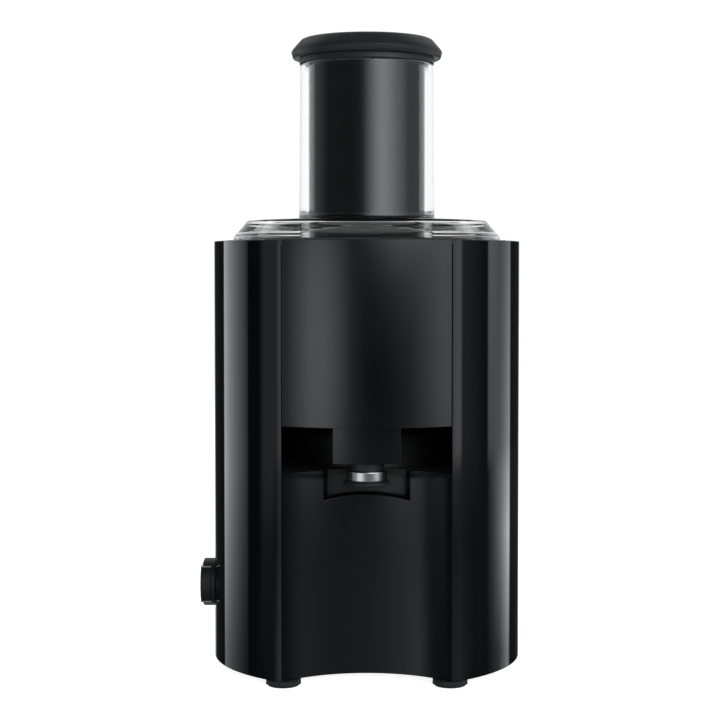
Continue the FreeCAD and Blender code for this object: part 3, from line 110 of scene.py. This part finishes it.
def spread_of(tree, factor, low, high):
    return add(tree, "MapRange", {"Value": factor, "From Min": 0.3, "From Max": 0.7,
                                  "To Min": low, "To Max": high}).outputs["Result"]


def two_tone(tree, factor, dark, light):
    ramp = add(tree, "ValToRGB", {"Fac": factor})
    ends = ramp.color_ramp.elements
    ends[0].position, ends[1].position = 0.3, 0.7
    ends[0].color, ends[1].color = (*dark, 1), (*light, 1)
    return ramp.outputs["Color"]


def surface(name, dark, light, rough, cloud=14.0, grain=1800.0, bump=0.1, depth=0.00005,
            stretch=(1, 1, 1), relief=None, **fixed):
    """A moulded or machined surface: a soft change of tone, and grain in gloss and height."""
    material, tree, shader = new_material(name)
    clouds = noise(tree, cloud)
    fine = noise(tree, grain, stretch)
    height = fine
    if relief:
        height = add(tree, "Math", {0: bands(tree, *relief), 1: fine}, operation="ADD").outputs[0]
    mixed = add(tree, "Math", {0: clouds, 1: fine}, operation="ADD").outputs[0]
    half = add(tree, "Math", {0: mixed, 1: 0.5}, operation="MULTIPLY").outputs[0]
    links = tree.links
    links.new(two_tone(tree, half, dark, light), shader.inputs["Base Color"])
    links.new(spread_of(tree, half, *rough), shader.inputs["Roughness"])
    if bump:
        raised = add(tree, "Bump", {"Height": height, "Strength": bump, "Distance": depth})
        links.new(raised.outputs["Normal"], shader.inputs["Normal"])
    for socket, given in fixed.items():
        shader.inputs[socket.replace("_", " ")].default_value = given
    return material


def grey(level, blue=1.0):
    return (level, level * (1 + 0.5 * (blue - 1)), level * blue)


finish = {
    "gloss_black": surface("GlossBlack", grey(0.001, 1.3), grey(0.0016, 1.3), (0.035, 0.06),
                           bump=0.012, IOR=1.5),
    "satin_black": surface("SatinBlack", grey(0.0012, 1.3), grey(0.002, 1.3), (0.14, 0.18),
                           bump=0.03, IOR=1.5),
    "structure_black": surface("StructureBlack", grey(0.011), grey(0.016), (0.38, 0.5),
                               grain=900, bump=0.25, IOR=1.5),
    "pusher_black": surface("PusherBlack", grey(0.001, 1.3), grey(0.0018, 1.3), (0.11, 0.14),
                            grain=500, bump=0.003, IOR=1.5),
    "soft_black": surface("SoftBlack", grey(0.009, 1.1), grey(0.014, 1.1), (0.42, 0.52),
                          grain=1500, bump=0.2, IOR=1.48),
    "satin_chrome": surface("SatinChrome", grey(0.55), grey(0.68), (0.16, 0.24), grain=1500,
                            stretch=(1, 1, 0.05), bump=0.05, Metallic=1.0),
    "rubber": surface("Rubber", grey(0.012), grey(0.02), (0.62, 0.75), grain=1100, bump=0.35),
    "silicone": surface("Silicone", (0.42, 0.43, 0.43), (0.5, 0.51, 0.51), (0.4, 0.5), bump=0.1,
                        Subsurface_Weight=0.15),
    "steel": surface("Steel", grey(0.5), grey(0.64), (0.22, 0.34), grain=2600,
                     stretch=(1, 1, 0.04), bump=0.08, Metallic=1.0),
    "lamination": surface("Lamination", grey(0.16), grey(0.3), (0.4, 0.55), bump=0.6,
                          depth=0.0002, relief=(320.0, "Z", 0.2), Metallic=1.0),
    "copper": surface("Copper", (0.42, 0.14, 0.05), (0.62, 0.26, 0.1), (0.28, 0.4), bump=0.7,
                      depth=0.0003, relief=(220.0, "Z", 0.6), Metallic=1.0),
    "carbon": surface("Carbon", grey(0.02), grey(0.035), (0.55, 0.7), grain=900, bump=0.3),
    "nylon": surface("Nylon", (0.55, 0.54, 0.5), (0.63, 0.62, 0.58), (0.42, 0.52), bump=0.12,
                     Subsurface_Weight=0.1),
    "bracket_alloy": surface("BracketAlloy", grey(0.42), grey(0.55), (0.4, 0.55), grain=700,
                             bump=0.35, Metallic=1.0),
    "board_green": surface("BoardGreen", (0.01, 0.07, 0.03), (0.02, 0.13, 0.05), (0.25, 0.4),
                           relief=(130.0, "Y", 3.0), bump=0.3, depth=0.0001),
    "switch_plastic": surface("SwitchPlastic", grey(0.05), grey(0.07), (0.4, 0.5), bump=0.15),
}


def clear_plastic():
    """Clear polycarbonate with the faintest grey tint and rubbed patches."""
    material, tree, shader = new_material("ClearPlastic")
    rubbed = spread_of(tree, noise(tree, 60, (1, 1, 0.2), 4.0), 0.0, 0.006)
    tint = two_tone(tree, noise(tree, 9), (0.985, 0.99, 0.99), (1.0, 1.0, 1.0))
    wave = add(tree, "Bump", {"Height": noise(tree, 25), "Strength": 0.015, "Distance": 0.0002})
    tree.links.new(tint, shader.inputs["Base Color"])
    tree.links.new(rubbed, shader.inputs["Roughness"])
    tree.links.new(wave.outputs["Normal"], shader.inputs["Normal"])
    shader.inputs["Transmission Weight"].default_value = 1.0
    shader.inputs["IOR"].default_value = 1.49
    return material


finish["clear_plastic"] = clear_plastic()

slot_of = {part["node"]: part["material_slot"] for part in frame["record"]["subparts"]}
for name, node in nodes.items():
    node.data.materials.clear()
    node.data.materials.append(finish[slot_of[name]])


# Pieces ---------------------------------------------------------------------------------

def place_piece(name, mesh, body, slot, stands_for=(), material=None):
    piece = bpy.data.objects.new(name, mesh)
    bpy.context.scene.collection.objects.link(piece)
    mesh.materials.clear()
    mesh.materials.append(material or finish[slot])
    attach(piece, body)
    if stands_for:
        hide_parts(*stands_for)
    return piece


def refined(node, edge=0.4, angle=32, segments=3):
    """The node's own shape as clean faces, with its sharp edges rounded."""
    mesh = nodes[node].data.copy()
    for extra in ("custom_normal", "sharp_edge", "sharp_face"):
        if extra in mesh.attributes:
            mesh.attributes.remove(mesh.attributes[extra])
    work = bmesh.new()
    work.from_mesh(mesh)
    bmesh.ops.remove_doubles(work, verts=work.verts, dist=0.000002)
    bmesh.ops.dissolve_degenerate(work, edges=work.edges, dist=0.000002)
    bmesh.ops.dissolve_limit(work, angle_limit=math.radians(0.4), verts=work.verts,
                             edges=work.edges)
    work.to_mesh(mesh)
    work.free()
    mesh.shade_smooth()
    piece = place_piece(node + "_skin", mesh, nodes[node]["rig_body"], slot_of[node], [node])
    bevel = piece.modifiers.new("RoundEdges", "BEVEL")
    bevel.width = edge * MM
    bevel.segments = segments
    bevel.limit_method = "ANGLE"
    bevel.angle_limit = math.radians(angle)
    bevel.harden_normals = True
    bevel.use_clamp_overlap = False
    bevel.miter_outer = "MITER_ARC"


for node, edge in (
    ("housing_shell", 0.35), ("front_panel", 0.25), ("collector_fascia", 0.3),
    ("juice_collector", 0.3), ("pulp_container", 0.5), ("bin_handle", 1.2),
    ("latch_left", 0.4), ("latch_right", 0.4), ("pusher_cap", 0.3), ("knob_body", 0.35),
    ("knob_grip", 0.35), ("knob_trim", 0.12), ("rubber_feet", 0.4), ("base_plate", 0.3),
    ("spout_nozzle", 0.2), ("spout_ring", 0.3), ("pusher_tube", 0.2),
):
    refined(node, edge)


# Clear lid ------------------------------------------------------------------------------

# The body's outline from above, in mm as in the CAD: a front arc about the drive axis, side
# arcs with their centres out at the sides, and a rear arc with its centre behind the axis.
FRONT = 97
SIDE, SIDE_PLACE = 400, 303
REAR, REAR_PLACE = 86, 82.383

lid_low, lid_high = (corner.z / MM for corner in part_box("lid_cover"))
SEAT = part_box("lid_seal")[0].z / MM


def egg_reach(turn, inset):
    """How far the body's outline is from the drive axis in a direction, that far inside it."""
    cos, sin = math.cos(turn), math.sin(turn)
    if sin <= 0:
        return FRONT - inset
    side, rear = SIDE - inset, REAR - inset
    along = side * REAR_PLACE / (SIDE - REAR)
    across = side * SIDE_PLACE / (SIDE - REAR) - SIDE_PLACE
    if math.atan2(sin, abs(cos)) < math.atan2(along, across):
        b = SIDE_PLACE * abs(cos)
        return -b + math.sqrt(b * b + side ** 2 - SIDE_PLACE ** 2)
    b = REAR_PLACE * sin
    return b + math.sqrt(b * b + rear ** 2 - REAR_PLACE ** 2)


# The lid's section in mm, from its lower edge over the outside and back along the inside.
# Egg rows are an inset from the outline and a height, disc rows are a radius and a height.
FLANGE = ((11.3, 0, 0.3), (11.02, 0.25, 0), (11.35, 1.75, 0), (11.6, 2.0, 0.3),
          (11.65, 2.01, None), (12.4, 4.9, None), (12.6, 5.3, None), (13.0, 5.75, None))
SHOULDER = ((20.4, 0.75), (20.9, 0.35), (21.6, 0.08), (22.6, 0), (26, 0))
CHUTE_FOOT = ((47.2, 0), (45.6, 0.12), (44.6, 0.5), (43.8, 1.2), (43.3, 2.2), (43.1, 4),
              (43.0, 8), (42.7, 50))
CHUTE_MOUTH = ((42.35, -1.0), (42.35, -0.7), (42.25, -0.45), (41.9, -0.1),
               (41.4, 0), (40.3, 0), (39.8, -0.12), (39.5, -0.5), (39.5, -0.8), (39.5, -2),
               (39.5, -50))
CHUTE_END = ((39.5, 30), (39.5, 1.2), (39.5, 0.5), (39.8, 0.1), (40.3, 0), (41.4, 0),
             (41.9, 0.1), (42.3, 0.5), (42.3, 1.2), (42.3, 20))
UNDER_CHUTE_FOOT = ((42.3, -4.2), (42.6, -3.2), (43.4, -2.6), (45, -2.5))
UNDER_SHOULDER = ((27, -2.5), (24.2, -2.52), (23.2, -2.75), (22.6, -3.2))
UNDER_FLANGE = ((15.4, 5.0), (15.0, 4.2), (14.0, 0.3), (13.7, 0), (12.5, 0))
TOP_RISE = 15.3


def clear_lid():
    """The lid and its feed chute as one smooth closed shell of real thickness."""
    count = 288
    ear_gap = 0.3
    ear_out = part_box("latch_right")[0].x / MM - ear_gap
    ear_low, ear_high = 39, 55
    top = SEAT + TOP_RISE
    rings = []

    def ring(kind, size, height, ear=None):
        points = []
        for number in range(count):
            turn = 2 * math.pi * number / count
            reach = egg_reach(turn, size) if kind == "egg" else size
            y = reach * math.sin(turn)
            if ear is not None and ear_low <= y <= ear_high:
                reach = (ear_out - ear) / abs(math.cos(turn))
            points.append((reach * math.cos(turn), reach * math.sin(turn), height))
        rings.append(points)

    for inset, rise, ear in FLANGE:
        ring("egg", inset, SEAT + rise, ear)
    for step in range(1, 7):
        part = step / 7
        ring("egg", 13.0 + 7.6 * part, SEAT + 5.75 + 8.7 * part)
    for inset, drop in SHOULDER:
        ring("egg", inset, top - drop)
    for radius, rise in CHUTE_FOOT:
        ring("disc", radius, top + rise)
    for radius, rise in CHUTE_MOUTH:
        ring("disc", radius, lid_high + rise)
    for radius, rise in CHUTE_END:
        ring("disc", radius, lid_low + rise)
    for radius, rise in UNDER_CHUTE_FOOT:
        ring("disc", radius, top + rise)
    for inset, rise in UNDER_SHOULDER:
        ring("egg", inset, top + rise)
    for step in range(1, 6):
        part = step / 6
        ring("egg", 22.6 - 6.9 * part, top - 3.2 - 6.6 * part)
    for inset, rise in UNDER_FLANGE:
        ring("egg", inset, SEAT + rise)
    verts = [(x * MM, y * MM, z * MM) for points in rings for x, y, z in points]
    faces = []
    for i in range(len(rings)):
        after = (i + 1) % len(rings)
        for j in range(count):
            k = (j + 1) % count
            faces.append((i * count + j, i * count + k, after * count + k, after * count + j))
    mesh = bpy.data.meshes.new("ClearLid")
    mesh.from_pydata(verts, [], faces)
    work = bmesh.new()
    work.from_mesh(mesh)
    bmesh.ops.recalc_face_normals(work, faces=work.faces)
    work.to_mesh(mesh)
    work.free()
    mesh.shade_smooth()
    place_piece("clear_lid", mesh, "lid", "clear_plastic", ["lid_cover"])


clear_lid()


def perforated_wall():
    """The filter wall: a steel cone with a solid band at each end and holes between."""
    low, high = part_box("filter_mesh")
    wall, spread = 0.8, 20
    rows, columns = 26, 132
    margin = 0.29
    verts, faces = [], []

    def place(row, column):
        part = row / rows
        radius = high.x / MM - spread * (1 - part)
        turn = 2 * math.pi * column / columns
        height = low.z + (high.z - low.z) * part
        return (radius * MM * math.cos(turn), radius * MM * math.sin(turn), height)

    for row in range(rows + 1):
        verts += [place(row, column) for column in range(columns)]
    for row in range(rows):
        for column in range(columns):
            after = (column + 1) % columns
            corners = [row * columns + column, row * columns + after,
                       (row + 1) * columns + after, (row + 1) * columns + column]
            if row in (0, rows - 1):
                faces.append(corners)
                continue
            hole = len(verts)
            verts += [place(row + up, column + across)
                      for across, up in ((margin, margin), (1 - margin, margin),
                                         (1 - margin, 1 - margin), (margin, 1 - margin))]
            for side in range(4):
                onward = (side + 1) % 4
                faces.append([corners[side], corners[onward], hole + onward, hole + side])
    mesh = bpy.data.meshes.new("PerforatedWall")
    mesh.from_pydata(verts, [], faces)
    piece = place_piece("perforated_wall", mesh, "basket", "steel", ["filter_mesh"])
    thick = piece.modifiers.new("Thickness", "SOLIDIFY")
    thick.thickness = wall * MM
    thick.offset = -1


perforated_wall()


# Camera ---------------------------------------------------------------------------------

def make_camera():
    distance, height, tilt = 1.078, 0.2523, 2.077
    data = bpy.data.cameras.new("View")
    data.sensor_width = 36
    data.lens = 83.97
    data.shift_x = -0.0066
    data.shift_y = -0.05
    data.clip_start, data.clip_end = 0.05, 50
    camera = bpy.data.objects.new("View", data)
    camera.location = (0, -distance, height)
    camera.rotation_euler = (math.radians(90 - tilt), 0, 0)
    bpy.context.scene.collection.objects.link(camera)
    bpy.context.scene.camera = camera


# Studio ---------------------------------------------------------------------------------

def stage_mesh(name, verts, faces, material):
    mesh = bpy.data.meshes.new(name)
    mesh.from_pydata(verts, [], faces)
    mesh.materials.append(material)
    made = bpy.data.objects.new(name, mesh)
    bpy.context.scene.collection.objects.link(made)
    return made


def floor():
    """A pale floor that is bright in the view and hardly lights the juicer."""
    reach = 6.0
    glow_elsewhere, glow_in_view = 0.05, 0.9
    material = surface("PaleFloor", grey(0.86), grey(0.9), (0.6, 0.7), cloud=3, bump=0.0)
    tree = material.node_tree
    shader = next(n for n in tree.nodes if n.type == "BSDF_PRINCIPLED")
    shader.inputs["Emission Color"].default_value = (1, 1, 1, 1)
    lit = add(tree, "MapRange", {"Value": add(tree, "LightPath").outputs["Is Camera Ray"],
                                 "To Min": glow_elsewhere,
                                 "To Max": glow_in_view}).outputs["Result"]
    tree.links.new(lit, shader.inputs["Emission Strength"])
    made = stage_mesh("Floor", [(-reach, -reach, 0), (reach, -reach, 0), (reach, reach, 0),
                                (-reach, reach, 0)], [(0, 1, 2, 3)], material)
    made.visible_glossy = False


# The light tent: how bright its wall is at each azimuth, in degrees from -Y towards +X.
# Tall soft strips stand at the sides, and broad dim ones in front.
SIDE_STRIPS = [(-180, 1.0), (-168, 1.0), (-165, 0.7), (-158, 0.03), (-131, 0.02),
               (-130, 2.3), (-120, 1.7), (-111, 1.25), (-104, 0.86), (-97, 0.4),
               (-95.5, 0.02), (-84, 0.02), (-79, 0.3), (-70, 0.35)]
# Each row of the wall: its height above the table, then the strengths round it.
WALL = [
    (-1.2, [(-180, 0.3), (-131, 0.02), (-130, 0.4), (-97, 0.06), (-95, 0.02), (-65, 0.1),
     (-50, 0.5), (-6, 0.2), (28, 0.15), (65, 0.2), (84, 0.05), (98, 0.05), (129, 0.5),
     (132, 0.02), (180, 0.3)]),
    (-0.32, [(-180, 0.5), (-160, 0.3), (-156, 0.03), (-131, 0.02), (-130, 0.78),
     (-97, 0.12), (-95.5, 0.02), (-65, 0.1), (-50, 0.67), (-33, 0.45), (-6, 0.26), (28, 0.2),
     (65, 0.3), (84, 0.07), (98, 0.05), (114, 0.3), (129, 1.2), (133, 0.02), (156, 0.03),
     (160, 0.3), (180, 0.5)]),
    (-0.14, [(-180, 1.0), (-168, 1.0), (-165, 0.7), (-158, 0.03), (-131, 0.02),
     (-130, 1.75), (-111, 0.95), (-97, 0.3), (-95.5, 0.02), (-84, 0.02), (-79, 0.15),
     (-60, 0.1), (-50, 0.44), (-34, 0.33), (-9, 0.23), (27, 0.14), (65, 0.18), (84, 0.07),
     (98, 0.06), (106, 0.5), (114, 1.2), (129, 3.0), (131, 2.6), (133, 0.05), (158, 0.03),
     (165, 0.7), (168, 1.0), (180, 1.0)]),
    (-0.05, SIDE_STRIPS + [(-60, 0.2), (-50, 0.6), (-34, 0.5), (-9, 0.23), (27, 0.15),
     (42, 0.3), (56, 0.4), (71, 0.22), (94, 0.06), (98, 0.06), (106, 0.6), (129, 2.2),
     (131, 2.0), (133, 0.05), (158, 0.03), (165, 0.7), (168, 1.0), (180, 1.0)]),
    (-0.01, SIDE_STRIPS + [(-60, 0.35), (-47, 1.35), (-40, 1.95), (-30, 1.95), (-22, 1.35),
     (-11, 0.33), (0, 0.05), (14, 0.02), (30, 0.2), (42, 0.7), (56, 1.4), (66, 1.4),
     (70, 0.3), (94, 0.05), (98, 0.05), (99.5, 0.8), (114, 0.8), (129, 1.5), (131, 1.5),
     (133, 0.03), (158, 0.03), (165, 0.7), (168, 1.0), (180, 1.0)]),
    (0.3, SIDE_STRIPS + [(-60, 0.35), (-47, 1.35), (-40, 2.0), (-30, 2.0), (-22, 1.35),
     (-11, 0.33), (0, 0.05), (14, 0.02), (30, 0.2), (42, 0.7), (56, 1.4), (66, 1.4),
     (70, 0.3), (94, 0.05), (98, 0.05), (99, 1.1), (102, 1.25), (114, 0.65), (129, 0.93),
     (131, 0.9), (133, 0.03), (158, 0.03), (165, 0.7), (168, 1.0), (180, 1.0)]),
    (0.33, [(-180, 1.0), (-150, 0.6), (-128, 0.84), (-100, 0.76), (-85, 0.4), (-78, 0.26),
     (-68, 0.07), (-25, 0.06), (-12, 0.15), (-5, 0.5), (3, 1.6), (10, 2.8), (20, 4.3),
     (27, 4.8), (36, 4.2), (46, 3.1), (56, 2.2), (64, 1.6), (74, 0.8), (95, 0.6), (120, 0.4),
     (138, 0.75), (180, 1.0)]),
]
WALL.append((0.62, WALL[-1][1]))
WALL.append((1.3, [(angle, strength * 0.3) for angle, strength in WALL[-1][1]]))


def strength_at(row, angle):
    for (a, low), (b, high) in zip(row, row[1:]):
        if a <= angle <= b:
            return low + (high - low) * (angle - a) / (b - a)
    return 0.0


def light_tent():
    """A round wall of soft light, seen only in reflections and by what it lights."""
    distance = 1.5
    angles = {angle for _, row in WALL for angle, _ in row} | set(range(-180, 181, 4))
    angles = sorted(angles)
    verts, glow = [], []
    for height, row in WALL:
        for angle in angles:
            turn = math.radians(angle)
            verts.append((distance * math.sin(turn), -distance * math.cos(turn), height))
            glow.append(strength_at(row, angle))
    count = len(angles)
    faces = [(i * count + j, i * count + j + 1, (i + 1) * count + j + 1, (i + 1) * count + j)
             for i in range(len(WALL) - 1) for j in range(count - 1)]
    material = bpy.data.materials.new("TentWall")
    material.use_nodes = True
    tree = material.node_tree
    tree.nodes.clear()
    output = tree.nodes.new("ShaderNodeOutputMaterial")
    strength = add(tree, "Attribute", attribute_name="glow").outputs["Fac"]
    shine = add(tree, "Emission", {"Color": (0.93, 0.965, 1.0, 1), "Strength": strength})
    tree.links.new(shine.outputs["Emission"], output.inputs["Surface"])
    made = stage_mesh("TentWall", verts, faces, material)
    made.data.attributes.new("glow", "FLOAT", "POINT").data.foreach_set("value", glow)
    made.visible_camera = False
    made.visible_transmission = False
    made.visible_shadow = False


def ceiling():
    data = bpy.data.lights.new("Ceiling", "AREA")
    data.shape = "DISK"
    data.size = 1.6
    data.energy = 6
    lamp = bpy.data.objects.new("Ceiling", data)
    lamp.location = (0, 0, 2.0)
    lamp.visible_glossy = False
    bpy.context.scene.collection.objects.link(lamp)


def studio_world():
    """White behind the juicer and through its clear lid, and dim in other reflections."""
    world = bpy.data.worlds.new("Studio")
    bpy.context.scene.world = world
    world.use_nodes = True
    tree = world.node_tree
    tree.nodes.clear()
    output = tree.nodes.new("ShaderNodeOutputWorld")
    first = 0.5
    rearward = 0.5
    path = add(tree, "LightPath").outputs
    bounces = add(tree, "Math", {0: path["Diffuse Depth"], 1: path["Glossy Depth"]},
                  operation="ADD").outputs[0]
    direct = add(tree, "Math", {0: bounces, 1: first}, operation="LESS_THAN").outputs[0]
    aim = add(tree, "TexCoord").outputs["Generated"]
    toward = add(tree, "SeparateXYZ", {0: aim}).outputs["Y"]
    behind = add(tree, "Math", {0: toward, 1: rearward}, operation="GREATER_THAN").outputs[0]
    undiffused = add(tree, "Math", {0: path["Diffuse Depth"], 1: first},
                     operation="LESS_THAN").outputs[0]
    backdrop = add(tree, "Math", {0: behind, 1: undiffused}, operation="MULTIPLY").outputs[0]
    lit = add(tree, "Math", {0: direct, 1: backdrop}, operation="MAXIMUM").outputs[0]
    dim = add(tree, "Background", {"Color": (0.9, 0.95, 1.0, 1), "Strength": 0.08})
    white = add(tree, "Background", {"Color": (1, 1, 1, 1), "Strength": 1.05})
    mix = add(tree, "MixShader", {0: lit, 1: dim.outputs[0], 2: white.outputs[0]})
    tree.links.new(mix.outputs[0], output.inputs["Surface"])


make_camera()
floor()
light_tent()
ceiling()
studio_world()
bpy.context.scene.view_settings.view_transform = "Standard"
